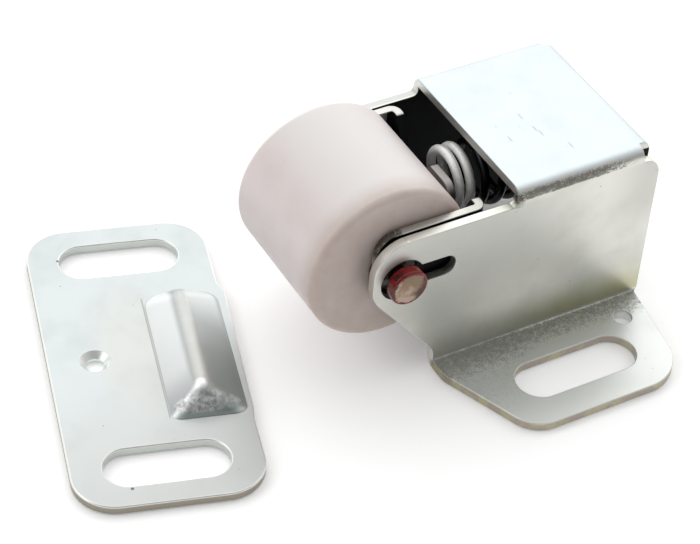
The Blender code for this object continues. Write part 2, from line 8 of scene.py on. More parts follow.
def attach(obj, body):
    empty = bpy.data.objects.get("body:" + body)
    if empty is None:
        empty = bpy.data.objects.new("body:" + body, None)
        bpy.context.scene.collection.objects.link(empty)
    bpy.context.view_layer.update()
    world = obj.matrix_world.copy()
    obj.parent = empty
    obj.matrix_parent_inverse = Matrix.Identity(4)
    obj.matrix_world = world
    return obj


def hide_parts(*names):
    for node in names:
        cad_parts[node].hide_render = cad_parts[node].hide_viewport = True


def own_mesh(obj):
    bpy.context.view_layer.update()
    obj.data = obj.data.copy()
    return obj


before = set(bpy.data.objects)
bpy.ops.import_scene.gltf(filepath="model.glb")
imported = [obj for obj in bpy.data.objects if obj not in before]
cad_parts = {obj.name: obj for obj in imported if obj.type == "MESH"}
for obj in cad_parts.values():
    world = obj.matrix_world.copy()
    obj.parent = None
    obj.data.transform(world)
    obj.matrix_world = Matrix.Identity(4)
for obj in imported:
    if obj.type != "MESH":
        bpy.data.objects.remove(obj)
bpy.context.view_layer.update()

# The frame is in metres: +X runs back from the roller, +Y along the axle, +Z up from the mounting face
MM = 0.001

# Where the catch and the strike plate stand, as in the part's source
CATCH_X = 0.003861
CATCH_Y = -0.000371
AXLE_Z = 0.0196
STRIKE_X = -0.026739
STRIKE_Y = 0.003729
STRIKE_TURN = radians(-16.5)

# Sizes in millimetres, with the axle's middle above the origin until a piece is put in its place
SHEET = 1.5
CARRIER_SHEET = 1.25
BEND_IN = 0.3
BEND_OUT = BEND_IN + SHEET
HALF = 14.55
CARRIER_HALF = 12.7
CARRIER_REAR = 14.15
FLAP_FACE = 41.4
TOP = 29.1
AXLE_UP = 19.6
AXLE_MIDDLE = (0.0, 0.0, AXLE_UP)
AXLE_RADIUS = 2.9
AXLE_HOLE = 3.2

# Rows of faces in each bend, and how long a cutter is that goes through both sides, or through one sheet
ROWS = 6
THROUGH = 40.0
THROUGH_ONE = 6.0


# Camera
def add_camera():
    """The camera worked out from the photograph, at its angle and distance."""
    yaw = radians(32.985)
    pitch = radians(41.875)
    roll = radians(5.21)
    forward = Vector((sin(yaw) * cos(pitch), cos(yaw) * cos(pitch), -sin(pitch)))
    level = Vector((cos(yaw), -sin(yaw), 0.0))
    above = level.cross(forward)
    right = cos(roll) * level + sin(roll) * above
    up = cos(roll) * above - sin(roll) * level
    data = bpy.data.cameras.new("camera")
    data.sensor_width = 36.0
    data.lens = 128.01
    data.clip_start = 0.01
    camera = bpy.data.objects.new("camera", data)
    turn = Matrix((right, up, -forward)).transposed().to_4x4()
    camera.matrix_world = Matrix.Translation((-0.141348, -0.225101, 0.249134)) @ turn
    bpy.context.scene.collection.objects.link(camera)
    bpy.context.scene.camera = camera


# Light
def add_lamp(name, place, aim, size, power):
    data = bpy.data.lights.new(name, "AREA")
    data.shape = "RECTANGLE"
    data.size = size[0]
    data.size_y = size[1]
    data.energy = power
    lamp = bpy.data.objects.new(name, data)
    facing = (Vector(aim) - Vector(place)).to_track_quat("-Z", "Y")
    lamp.matrix_world = Matrix.Translation(place) @ facing.to_matrix().to_4x4()
    bpy.context.scene.collection.objects.link(lamp)


def add_studio():
    """A pale room: light above and behind, dimmer towards the front and the horizon."""
    world = bpy.data.worlds.new("studio")
    bpy.context.scene.world = world
    world.use_nodes = True
    nodes = world.node_tree.nodes
    links = world.node_tree.links
    nodes.clear()
    output = nodes.new("ShaderNodeOutputWorld")
    background = nodes.new("ShaderNodeBackground")
    where = nodes.new("ShaderNodeTexCoord")
    toward = nodes.new("ShaderNodeVectorMath")
    toward.operation = "DOT_PRODUCT"
    brightest = (0.40, 0.63, 0.67)
    toward.inputs[1].default_value = Vector(brightest).normalized()
    ramp = nodes.new("ShaderNodeValToRGB")
    stops = [(0.0, 0.07), (0.40, 0.22), (0.70, 0.50), (0.93, 1.0)]
    while len(ramp.color_ramp.elements) < len(stops):
        ramp.color_ramp.elements.new(1.0)
    for element, (position, level) in zip(ramp.color_ramp.elements, stops):
        element.position = position
        element.color = (level, level, level, 1.0)
    spread = nodes.new("ShaderNodeMapRange")
    spread.inputs["From Min"].default_value = -0.5
    spread.inputs["From Max"].default_value = 1.0
    links.new(where.outputs["Generated"], toward.inputs[0])
    links.new(toward.outputs["Value"], spread.inputs["Value"])
    links.new(spread.outputs["Result"], ramp.inputs["Fac"])
    links.new(ramp.outputs["Color"], background.inputs["Color"])
    background.inputs["Strength"].default_value = 1.7
    links.new(background.outputs["Background"], output.inputs["Surface"])
    add_lamp("left_panel", (-0.8, 0.2, 0.6), (0.0, 0.0, 0.01), (0.6, 0.6), 2.0)


# Shader sums written as Python
class Number:
    """A number at a node's output. Sums with it add Math nodes to the same finish."""

    def __init__(self, finish, socket):
        self.finish = finish
        self.socket = socket

    def sum(self, operation, first, second):
        node = self.finish.node("ShaderNodeMath", {"operation": operation}, {0: first, 1: second})
        return Number(self.finish, node.outputs[0])

    def __add__(self, other):
        return self.sum("ADD", self, other)

    def __radd__(self, other):
        return self.sum("ADD", other, self)

    def __sub__(self, other):
        return self.sum("SUBTRACT", self, other)

    def __rsub__(self, other):
        return self.sum("SUBTRACT", other, self)

    def __mul__(self, other):
        return self.sum("MULTIPLY", self, other)

    def __rmul__(self, other):
        return self.sum("MULTIPLY", other, self)

    def __abs__(self):
        return self.sum("ABSOLUTE", self, 0.0)


class Finish:
    """One procedural material, with patterns read in millimetres from Object coordinates."""

    def __init__(self, name, centre=(0.0, 0.0, 0.0), turn=0.0):
        self.material = bpy.data.materials.new(name)
        self.material.use_nodes = True
        self.tree = self.material.node_tree
        self.tree.nodes.clear()
        output = self.node("ShaderNodeOutputMaterial")
        self.shader = self.node("ShaderNodeBsdfPrincipled")
        self.tree.links.new(self.shader.outputs["BSDF"], output.inputs["Surface"])
        where = self.node("ShaderNodeTexCoord")
        moved = self.node(
            "ShaderNodeVectorRotate",
            {"rotation_type": "Z_AXIS"},
            {"Vector": where.outputs["Object"], "Center": centre, "Angle": -turn},
        )
        centred = self.node(
            "ShaderNodeVectorMath", {"operation": "SUBTRACT"}, {0: moved.outputs[0], 1: centre}
        )
        scaled = self.node(
            "ShaderNodeVectorMath", {"operation": "SCALE"}, {0: centred.outputs[0], "Scale": 1 / MM}
        )
        self.place = scaled.outputs[0]
        parts = self.node("ShaderNodeSeparateXYZ", None, {0: self.place})
        self.x = Number(self, parts.outputs[0])
        self.y = Number(self, parts.outputs[1])
        self.z = Number(self, parts.outputs[2])

    def node(self, kind, settings=None, inputs=None):
        """Any node: its settings first, then the values or links of its sockets."""
        made = self.tree.nodes.new(kind)
        for key, value in (settings or {}).items():
            setattr(made, key, value)
        for key, value in (inputs or {}).items():
            self.fill(made.inputs[key], value)
        return made

    def fill(self, socket, value):
        if isinstance(value, Number):
            value = value.socket
        if isinstance(value, bpy.types.NodeSocket):
            self.tree.links.new(value, socket)
            return
        if socket.type == "RGBA" and len(value) == 3:
            value = (*value, 1.0)
        socket.default_value = value

    def set(self, **values):
        """Base_Color=..., Roughness=... on the shader, with _ for a space."""
        for key, value in values.items():
            self.fill(self.shader.inputs[key.replace("_", " ")], value)

    def mapped(self, shift, stretch=(1.0, 1.0, 1.0)):
        """Where a pattern is read: the place, stretched and then shifted."""
        node = self.node(
            "ShaderNodeMapping", None, {"Vector": self.place, "Location": shift, "Scale": stretch}
        )
        return node.outputs[0]

    def noise(self, scale, detail=2.0, rough=0.5, stretch=(1.0, 1.0, 1.0), shift=(0.0, 0.0, 0.0)):
        """Cloudy pattern, 0 to 1, with scale features to the millimetre."""
        where = self.mapped(shift, stretch)
        node = self.node(
            "ShaderNodeTexNoise",
            {"noise_dimensions": "3D"},
            {"Vector": where, "Scale": scale, "Detail": detail, "Roughness": rough},
        )
        return Number(self, node.outputs[0])

    def cells(self, scale, shift=(0.0, 0.0, 0.0)):
        """Distance to the nearest of scattered points, for specks."""
        node = self.node("ShaderNodeTexVoronoi", None, {"Vector": self.mapped(shift), "Scale": scale})
        return Number(self, node.outputs["Distance"])

    def rise(self, value, low, high):
        """0 below low, 1 above high, smooth between. With low over high it falls."""
        if low > high:
            return 1.0 - self.rise(value, high, low)
        node = self.node(
            "ShaderNodeMapRange",
            {"interpolation_type": "SMOOTHSTEP"},
            {"Value": value, "From Min": low, "From Max": high},
        )
        return Number(self, node.outputs[0])

    def distance(self, point, stretch):
        """Millimetres to a point, each axis counted times its stretch."""
        away = self.node("ShaderNodeVectorMath", {"operation": "SUBTRACT"}, {0: self.place, 1: point})
        counted = self.node(
            "ShaderNodeVectorMath", {"operation": "MULTIPLY"}, {0: away.outputs[0], 1: stretch}
        )
        length = self.node("ShaderNodeVectorMath", {"operation": "LENGTH"}, {0: counted.outputs[0]})
        return Number(self, length.outputs["Value"])

    def near(self, point, reach, soft, stretch=(1.0, 1.0, 1.0)):
        """1 within reach millimetres of a point, falling to 0 over soft."""
        return self.rise(self.distance(point, stretch), reach + soft, reach)

    def mix(self, first, second, mask):
        """From the first colour to the second by the mask."""
        node = self.node(
            "ShaderNodeMix", {"data_type": "RGBA"}, {"Factor": mask, 6: first, 7: second}
        )
        return node.outputs[2]

    def bump(self, height, depth, strength):
        """A bump of that depth in millimetres, on the shader's normal."""
        node = self.node(
            "ShaderNodeBump", None, {"Height": height, "Strength": strength, "Distance": depth * MM}
        )
        self.fill(self.shader.inputs["Normal"], node.outputs[0])


# Finishes, with places and levels in millimetres. A mask rises between two levels, so its edge is soft
def zinc_base(finish, pale, deep):
    """Bright zinc plate: cloudy tone, fine rolling lines, faint stains and a few pits."""
    cloud = finish.noise(0.11, 3.0, 0.6)
    fine = finish.noise(1.7, 4.0, 0.65, shift=(4.0, 9.0, 2.0))
    grain = finish.noise(3.0, 2.0, 0.5, stretch=(0.15, 1.0, 1.0))
    pits = finish.rise(finish.cells(0.35, shift=(3.0, 1.0, 7.0)), 0.055, 0.02)
    colour = finish.mix(pale, deep, finish.rise(cloud, 0.42, 0.72))
    colour = finish.mix(colour, (0.50, 0.47, 0.40), finish.rise(fine, 0.62, 0.82) * 0.22)
    colour = finish.mix(colour, (0.16, 0.13, 0.10), pits * 0.7)
    rough = 0.30 + cloud * 0.10 + fine * 0.08 + pits * 0.2
    height = grain + fine * 0.4 - pits * 3.0
    return colour, rough, height


def speckle(finish, amount, scale=6.0):
    """Fine dirt: a thin film with grains in it, and only scattered grains where the amount is low."""
    dust = finish.noise(scale, 4.0, 0.7, shift=(1.0, 5.0, 3.0))
    clump = finish.noise(scale * 0.22, 2.0, 0.5, shift=(6.0, 2.0, 4.0))
    grains = finish.rise(dust + clump * 0.35 + amount * 0.30, 0.74, 0.96)
    return (grains + amount * clump * 0.25) * finish.rise(amount, 0.0, 0.5)


def housing_finish():
    finish = Finish("zinc_housing")
    x, y, z = finish.x, finish.y, finish.z
    across = abs(y - CATCH_Y / MM)
    outside = finish.rise(across, 14.3, 14.5)
    on_flange = finish.rise(z, 1.9, SHEET)
    colour, rough, height = zinc_base(finish, (0.75, 0.75, 0.70), (0.66, 0.66, 0.60))
    # The top plate keeps its blue brightness
    tone = finish.rise(finish.noise(0.16, 4.0, 0.6), 0.4, 0.7)
    cool = finish.mix((0.60, 0.65, 0.67), (0.565, 0.62, 0.64), tone)
    colour = finish.mix(colour, cool, finish.rise(z, 28.3, 29.0))
    # Scratches on the top plate
    streak = finish.noise(1.1, 3.0, 0.6, stretch=(1.4, 0.28, 1.0), shift=(7.0, 2.0, 0.0))
    rubbed = finish.near((30.5, -2.5, TOP), 4.5, 4.0, (1.0, 0.75, 1.0)) + 0.35
    scratch = finish.rise(streak, 0.625, 0.70) * rubbed * 0.5
    dashes = ((30.9, -0.6), (31.3, -3.9), (31.6, -5.2), (26.8, -4.4), (19.6, 8.5), (34.0, -9.2))
    for back, aside in dashes:
        ragged = finish.noise(2.4, 2.0, 0.6, shift=(back, aside, 0.0)) + 0.35
        scratch = scratch + finish.near((back, aside, TOP), 0.03, 0.20, (1.0, 0.17, 1.0)) * ragged
    scratch = scratch * finish.rise(z, 28.9, 29.05)
    colour = finish.mix(colour, (0.26, 0.31, 0.31), finish.rise(scratch, 0.0, 1.0) * 0.6)
    # Dirt held in the lower half of the bends and beside the front corner
    bend = finish.rise(z, 26.9, 27.5) * finish.rise(z, 28.85, 28.1) * finish.rise(x, 20.6, 24.0)
    grime = speckle(finish, bend * finish.rise(y, -12.0, -14.0) * finish.rise(x, 45.0, 34.0))
    corner = speckle(finish, finish.near((21.9, -14.7, 27.2), 0.4, 1.3), 5.0)
    # Rough grey patch on the flange beside the fold, round to the slot's front end
    beside = on_flange * finish.rise(abs(y), 21.5, 16.0) * finish.rise(abs(y), 14.5, 15.2)
    front = on_flange * finish.near((15.0, -21.0, SHEET), 4.5, 8.0) * 0.9
    patch = speckle(finish, beside * 0.75 + front * 0.3, 5.0)
    # Soft grey over the front of the walls
    cloudy = finish.near((13.5, 0.0, 20.0), 6.0, 20.0, (1.0, 0.0, 1.4)) * outside
    cloudy = cloudy * finish.rise(z, 4.0, 12.0) * finish.rise(z, 27.6, 26.0)
    colour = finish.mix(colour, (0.52, 0.52, 0.49), cloudy * 0.75)
    # The walls' rear upper corners are a shade duller
    rear = finish.rise(x, 36.0, 45.0) * outside
    rear = rear * finish.rise(z, 12.0, 21.0) * finish.rise(z, 27.6, 26.5)
    colour = finish.mix(colour, (0.60, 0.60, 0.56), rear)
    # Olive shade low on the sides
    low = finish.rise(z, 9.0, 2.4) * finish.rise(z, 1.7, 2.2) * finish.rise(x, 16.0, 36.0)
    low = low * (finish.noise(0.25, 2.0) * 0.6 + 0.45)
    colour = finish.mix(colour, (0.50, 0.485, 0.245), low * 0.85)
    # The flanges are a shade cooler and duller than the walls
    flat = finish.rise(z, 1.9, 1.55) * finish.rise(abs(y), 14.5, 15.5)
    colour = finish.mix(colour, (0.61, 0.635, 0.625), flat * 0.7)
    # The patch itself, with bright grains between the dark ones, and then the bends' dirt
    colour = finish.mix(colour, (0.17, 0.165, 0.135), patch * 0.5)
    sparkle = finish.rise(finish.noise(7.0, 3.0, 0.7, shift=(9.0, 4.0, 1.0)), 0.60, 0.72)
    colour = finish.mix(colour, (0.88, 0.89, 0.86), sparkle * finish.rise(beside + front, 0.2, 0.8) * 0.5)
    colour = finish.mix(colour, (0.10, 0.085, 0.065), grime * 0.62 + corner * 0.7)
    # Cut edges: warm, with yellow where the plating is thin
    edge = finish.rise(z, 1.42, 1.25) * finish.rise(z, 0.05, 0.2) * finish.rise(abs(y), 14.0, 15.0)
    thin = finish.rise(finish.noise(0.5, 2.0), 0.45, 0.6)
    tint = finish.mix((0.36, 0.295, 0.24), (0.43, 0.39, 0.23), thin)
    pilot = finish.near((40.76, -19.22, SHEET / 2), 1.6, 0.3, (1.0, 1.0, 0.3))
    colour = finish.mix(colour, finish.mix(tint, (0.80, 0.81, 0.78), pilot), edge * 0.85)
    # The open rims in front of the plate are duller
    rims = finish.rise(x, 22.4, 21.2) * finish.rise(z, 25.9, 26.15) * finish.rise(y, 12.9, 13.2)
    colour = finish.mix(colour, (0.47, 0.48, 0.46), rims * 0.8)
    # Painted shade: inside, round the spring's channel, the steel is painted near black
    inner_painted_shade = finish.rise(across, 13.25, 13.1) * finish.rise(x, 45.2, 45.1)
    inner_painted_shade = inner_painted_shade * finish.rise(z, 27.85, 27.7) * finish.rise(z, 0.5, 2.0)
    colour = finish.mix(colour, (0.004, 0.006, 0.007), inner_painted_shade * 0.985)
    rough = rough + patch * 0.25 + grime * 0.3 + inner_painted_shade * 0.25
    finish.set(Base_Color=colour, Roughness=rough, Metallic=0.95)
    finish.bump(height + patch * 2.5 + grime * 2.0 - scratch * 2.0, 0.006, 0.5)
    return finish.material


def carrier_finish():
    finish = Finish("zinc_carrier")
    x, y, z = finish.x, finish.y, finish.z
    colour, rough, height = zinc_base(finish, (0.62, 0.62, 0.58), (0.48, 0.48, 0.44))
    # Painted shade: the carrier is painted near black, all but its upper edges and the low ear
    at_web = finish.rise(x, 15.6, 16.0)
    from_ear = abs(y + 2.5)
    web = at_web * finish.rise(from_ear, 3.2, 4.0)
    sides = finish.rise(abs(y - CATCH_Y / MM), 12.5, 12.6)
    painted_shade = finish.rise(web + sides, 0.3, 0.9) * finish.rise(z, 26.32, 26.2)
    worn = speckle(finish, finish.near((1.5, -12.6, 25.5), 2.0, 2.0), 3.0)
    colour = finish.mix(colour, (0.09, 0.075, 0.06), worn * 0.8)
    ear = at_web * finish.rise(z, 25.4, 24.6) * finish.rise(from_ear, 4.0, 3.2)
    colour = finish.mix(colour, (0.27, 0.245, 0.24), ear * 0.85)
    colour = finish.mix(colour, (0.005, 0.007, 0.008), painted_shade * 0.98)
    finish.set(Base_Color=colour, Roughness=rough + painted_shade * 0.25, Metallic=0.95)
    finish.bump(height, 0.005, 0.5)
    return finish.material


def strike_finish():
    finish = Finish("zinc_strike", (STRIKE_X, STRIKE_Y, 0.0), STRIKE_TURN)
    x, y, z = finish.x, finish.y, finish.z
    colour, rough, height = zinc_base(finish, (0.535, 0.57, 0.57), (0.49, 0.525, 0.525))
    # The plate greys towards its near corner, and a warm stain lies by the ridge
    grey = finish.rise(x * 0.5 - y, -8.0, 30.0)
    colour = finish.mix(colour, (0.43, 0.435, 0.42), grey * 0.75)
    stain = finish.near((-0.5, 2.0, SHEET), 2.0, 6.0, (1.0, 0.45, 1.0)) * finish.noise(0.4, 3.0)
    colour = finish.mix(colour, (0.53, 0.49, 0.41), stain * 0.5)
    # Pressed ridge: painted light makes the left flank pale, with painted shade towards its near end; dull
    # crest, dark rough near end
    lit_flank = finish.rise(z, 1.52, 1.68) * finish.rise(x, 6.0, 5.0)
    shade = lit_flank * finish.rise(y, -5.0, -11.5)
    fade = 0.65 + finish.rise(y + x * 0.8, -9.0, 10.0) * 0.35
    colour = finish.mix(colour, (0.95, 0.985, 0.98), lit_flank * fade)
    colour = finish.mix(colour, (0.48, 0.50, 0.50), shade * 0.8)
    crest = finish.rise(z, 4.75, 5.2)
    rubbed = crest * finish.rise(finish.noise(0.5, 3.0), 0.3, 0.6)
    colour = finish.mix(colour, (0.52, 0.515, 0.48), rubbed * 0.75)
    end = finish.rise(y, -10.6, -11.6) * finish.rise(z, 1.9, 2.3) * finish.rise(z, 5.1, 4.1)
    scuff = finish.noise(0.95, 4.0, 0.68, shift=(2.0, 8.0, 5.0))
    rough_end = finish.mix((0.88, 0.89, 0.88), (0.43, 0.44, 0.44), finish.rise(scuff, 0.40, 0.64))
    colour = finish.mix(colour, rough_end, end)
    # Pale green foot below the rough end; painted shade makes the right flank darker and greener, and
    # painted light makes it paler towards its far end
    foot = finish.rise(z, 1.55, 1.7) * finish.rise(z, 2.3, 1.95) * finish.rise(y, -12.3, -12.8)
    colour = finish.mix(colour, (0.62, 0.74, 0.70), foot * 0.8)
    raised = finish.rise(z, 1.65, 2.1)
    right = raised * finish.rise(x, 7.6, 9.5) * finish.rise(y, 9.0, -10.0)
    colour = finish.mix(colour, (0.34, 0.40, 0.38), right * 0.55)
    lit_far_end = raised * finish.rise(x, 7.2, 8.2) * finish.rise(y, 2.0, 10.0)
    colour = finish.mix(colour, (0.80, 0.84, 0.83), lit_far_end * 0.8)
    # Painted highlight at the crest's near end
    glint = finish.near((6.45, -10.3, 5.2), 0.35, 0.9)
    colour = finish.mix(colour, (0.97, 0.97, 0.95), glint * 0.9)
    # Painted shade: a dark line where the ridge's left flank meets the plate
    crease_shade = finish.rise(abs(x - 1.85), 0.16, 0.05) * finish.rise(z, 1.3, 1.45)
    crease_shade = crease_shade * finish.rise(abs(y + 0.5), 12.6, 12.0)
    colour = finish.mix(colour, (0.14, 0.16, 0.16), crease_shade * 0.5)
    # Cut edges are browner than the faces, but not in the slots and the hole
    edge = finish.rise(z, 1.28, 1.12) * finish.rise(z, 0.02, 0.15)
    within = finish.rise(abs(x), 10.6, 9.8) * finish.rise(abs(y), 26.4, 25.6)
    tint = finish.mix((0.31, 0.27, 0.205), (0.60, 0.64, 0.60), within)
    colour = finish.mix(colour, tint, edge * 0.85)
    # Painted light: the countersink's cone is painted pale
    lit_countersink = finish.near((-6.7, 0.0, 1.0), 2.1, 0.2) * finish.rise(z, 1.49, 1.42)
    colour = finish.mix(colour, (0.86, 0.91, 0.89), lit_countersink * 0.9)
    # Painted highlight: a pale line along the plate's upper arris
    rim = finish.rise(z, 1.20, 1.30) * finish.rise(z, 1.497, 1.47)
    colour = finish.mix(colour, (0.95, 0.95, 0.92), rim * 0.8)
    # Two dark pits
    dot = finish.near((-8.99, 21.83, SHEET), 0.16, 0.12) + finish.near((-5.47, -25.17, SHEET), 0.18, 0.12)
    colour = finish.mix(colour, (0.05, 0.05, 0.05), dot * 0.8)
    finish.set(Base_Color=colour, Roughness=rough + end * 0.12 + crest * 0.05, Metallic=0.9)
    finish.bump(height + end * scuff * 8.0, 0.007, 0.6)
    return finish.material


def nylon_finish():
    finish = Finish("off_white_nylon", (CATCH_X, CATCH_Y, AXLE_Z))
    y, z = finish.y, finish.z
    cloud = finish.noise(0.16, 3.0, 0.5)
    colour = finish.mix((0.735, 0.665, 0.65), (0.705, 0.635, 0.62), finish.rise(cloud, 0.4, 0.7))
    # Painted light: the roller's top is paler
    colour = finish.mix(colour, (0.79, 0.765, 0.75), finish.rise(z, 8.0, 12.6) * 0.8)
    # The near rim and the end face are darker and browner
    rim_blotch = finish.noise(0.35, 3.0, 0.6, shift=(5.0, 2.0, 6.0))
    rim = finish.rise(y, -6.5, -11.0) * (0.55 + rim_blotch * 0.8)
    colour = finish.mix(colour, (0.46, 0.345, 0.28), rim * 0.6)
    speck = finish.rise(finish.cells(0.5), 0.05, 0.02)
    colour = finish.mix(colour, (0.30, 0.27, 0.24), speck * 0.35)
    finish.set(Base_Color=colour, Roughness=0.40 + cloud * 0.10)
    finish.shader.inputs["Subsurface Weight"].default_value = 0.12
    finish.shader.inputs["Subsurface Radius"].default_value = (0.003, 0.002, 0.0015)
    finish.shader.inputs["Subsurface Scale"].default_value = 1.0
    turned = finish.noise(2.2, 2.0, 0.5, stretch=(0.3, 2.0, 0.3))
    finish.bump(turned + finish.noise(0.7, 2.0) - speck, 0.008, 0.4)
    return finish.material


def paint_finish():
    finish = Finish("worn_red_paint", (CATCH_X, CATCH_Y, AXLE_Z))
    x, y, z = finish.x, finish.y, finish.z
    chips = finish.noise(1.1, 4.0, 0.65)
    # Dark chips in the paint, and painted shade: the paint also darkens towards -X, the heads' left side
    chips_and_shade = finish.rise(chips - x * 0.05, 0.52, 0.72)
    paint = finish.mix((0.19, 0.001, 0.001), (0.03, 0.002, 0.002), chips_and_shade)
    # The paint has worn off the heads' faces down to stained steel
    radius = finish.distance((0.0, 0.0, 0.0), (1.0, 0.0, 1.0)) + (chips - 0.5) * 1.2
    face = finish.rise(abs(y), 16.30, 16.45) * finish.rise(radius, 2.55, 2.25)
    stain = finish.noise(0.8, 4.0, 0.6, shift=(3.0, 0.0, 8.0))
    steel = finish.mix((0.50, 0.385, 0.30), (0.34, 0.225, 0.15), finish.rise(stain, 0.45, 0.65))
    brown = finish.rise(x * 0.8 + z * 0.6 + (stain - 0.5) * 3.0, -0.6, 0.9)
    steel = finish.mix(steel, (0.25, 0.175, 0.11), brown * 0.85)
    dirt = finish.rise(x - z * 0.5 + (stain - 0.5) * 2.0, 1.3, 2.3)
    steel = finish.mix(steel, (0.05, 0.035, 0.03), dirt * 0.8)
    colour = finish.mix(paint, steel, face)
    # Painted shade: behind the heads the pin is painted near black
    hole_painted_shade = finish.rise(abs(y), 14.98, 14.88)
    colour = finish.mix(colour, (0.02, 0.014, 0.012), hole_painted_shade * 0.95)
    finish.set(Base_Color=colour, Roughness=0.16 + face * 0.34, Metallic=face * 0.5)
    finish.bump(chips * 0.6 - face * 0.6 + stain * face, 0.03, 0.5)
    return finish.material


def wire_finish():
    finish = Finish("spring_wire")
    drawn = finish.noise(2.2, 3.0, 0.6)
    colour = finish.mix((0.96, 0.96, 0.94), (0.86, 0.86, 0.84), finish.rise(drawn, 0.4, 0.7))
    # Painted shade: past the second coil the wire is painted near black
    painted_shade = finish.rise(finish.x, 22.9, 23.5)
    colour = finish.mix(colour, (0.005, 0.008, 0.010), painted_shade * 0.98)
    finish.set(Base_Color=colour, Roughness=0.30, Metallic=0.15 + painted_shade * 0.8)
    finish.bump(drawn, 0.005, 0.4)
    return finish.material


def floor_finish():
    finish = Finish("pale_floor")
    finish.set(Base_Color=(0.95, 0.95, 0.95), Roughness=0.9)
    finish.shader.inputs["Emission Color"].default_value = (1.0, 1.0, 1.0, 1.0)
    finish.shader.inputs["Emission Strength"].default_value = 0.20
    return finish.material


def dress(obj, material):
    obj.data.materials.clear()
    obj.data.materials.append(material)


# Modelling
def clear_picks():
    """An operator acts on all that is picked, so nothing is."""
    if bpy.context.mode != "OBJECT":
        bpy.ops.object.mode_set(mode="OBJECT")
    bpy.ops.object.select_all(action="DESELECT")


def pick(obj):
    clear_picks()
    obj.select_set(True)
    bpy.context.view_layer.objects.active = obj


def shape(obj):
    """Into edit mode, with nothing picked."""
    pick(obj)
    bpy.ops.object.mode_set(mode="EDIT")
    bpy.ops.mesh.select_mode(type="VERT")
    bpy.ops.mesh.select_all(action="DESELECT")


def added(name):
    """Names the primitive that was just added, and puts its place and size into its mesh."""
    obj = bpy.context.object
    obj.name = name
    obj.data.name = name
    pick(obj)
    bpy.ops.object.transform_apply(location=True, rotation=True, scale=True)
    return obj


def middle_of(part):
    """Where an edge or a face lies, by its corners' mean."""
    places = [point.co for point in part.verts]
    return sum(places, Vector()) / len(places)


def choose(obj, kind, test):
    """Picks, in edit mode, the points, edges or faces that pass the test."""
    bpy.ops.mesh.select_mode(type=kind)
    bpy.ops.mesh.select_all(action="DESELECT")
    work = bmesh.from_edit_mesh(obj.data)
    for part in {"VERT": work.verts, "EDGE": work.edges, "FACE": work.faces}[kind]:
        if test(part):
            part.select_set(True)
    work.select_flush_mode()
    bmesh.update_edit_mesh(obj.data)


def move(x=0.0, y=0.0, z=0.0):
    bpy.ops.transform.translate(value=(x * MM, y * MM, z * MM))


def turn_about(degrees, axis, hinge):
    """Turns what is picked by the right hand about an axis through the hinge, in millimetres."""
    centre = [value * MM for value in hinge]
    bpy.ops.transform.rotate(value=-radians(degrees), orient_axis=axis, center_override=centre)


def cut_at(place, normal):
    """Cuts what is picked across a plane, in millimetres."""
    bpy.ops.mesh.bisect(plane_co=[value * MM for value in place], plane_no=normal, threshold=0.0001 * MM)


def finish_with(obj, name, kind, **settings):
    """Adds a modifier and applies it."""
    pick(obj)
    modifier = obj.modifiers.new(name, kind)
    for key, value in settings.items():
        setattr(modifier, key, value)
    bpy.ops.object.modifier_apply(modifier=name)


def cut_with(obj, tool, operation="DIFFERENCE"):
    """Cuts a closed tool out of a piece, or joins it on, and takes the tool away."""
    finish_with(obj, "cut", "BOOLEAN", object=tool, operation=operation, solver="EXACT")
    bpy.data.objects.remove(tool, do_unlink=True)


def thicken(sheet, depth):
    """Gives a folded face its thickness, on the side away from its normals."""
    finish_with(sheet, "thickness", "SOLIDIFY", thickness=depth * MM, offset=-1.0, use_even_offset=True)


def weld(obj):
    """Draws together the points that cuts leave almost on each other."""
    shape(obj)
    bpy.ops.mesh.select_all(action="SELECT")
    bpy.ops.mesh.remove_doubles(threshold=0.004 * MM)
    clear_picks()


def round_arris(obj, width, segments=2, angle=50.0, soft=60.0):
    """Rounds every sharp edge a little, and keeps the flat faces flat to the light."""
    finish_with(
        obj,
        "arris",
        "BEVEL",
        width=width * MM,
        segments=segments,
        limit_method="ANGLE",
        angle_limit=radians(angle),
        use_clamp_overlap=False,
        miter_outer="MITER_ARC",
    )
    smooth(obj, soft)


def smooth(obj, angle):
    pick(obj)
    bpy.ops.object.shade_smooth_by_angle(angle=radians(angle))
    finish_with(obj, "flats", "WEIGHTED_NORMAL", mode="FACE_AREA", weight=100, keep_sharp=True)


def place_piece(obj, x, y, turn=0.0):
    """Puts the finished piece where it belongs, in its mesh."""
    obj.rotation_euler = (0.0, 0.0, turn)
    obj.location = (x, y, 0.0)
    pick(obj)
    bpy.ops.object.transform_apply(location=True, rotation=True, scale=True)


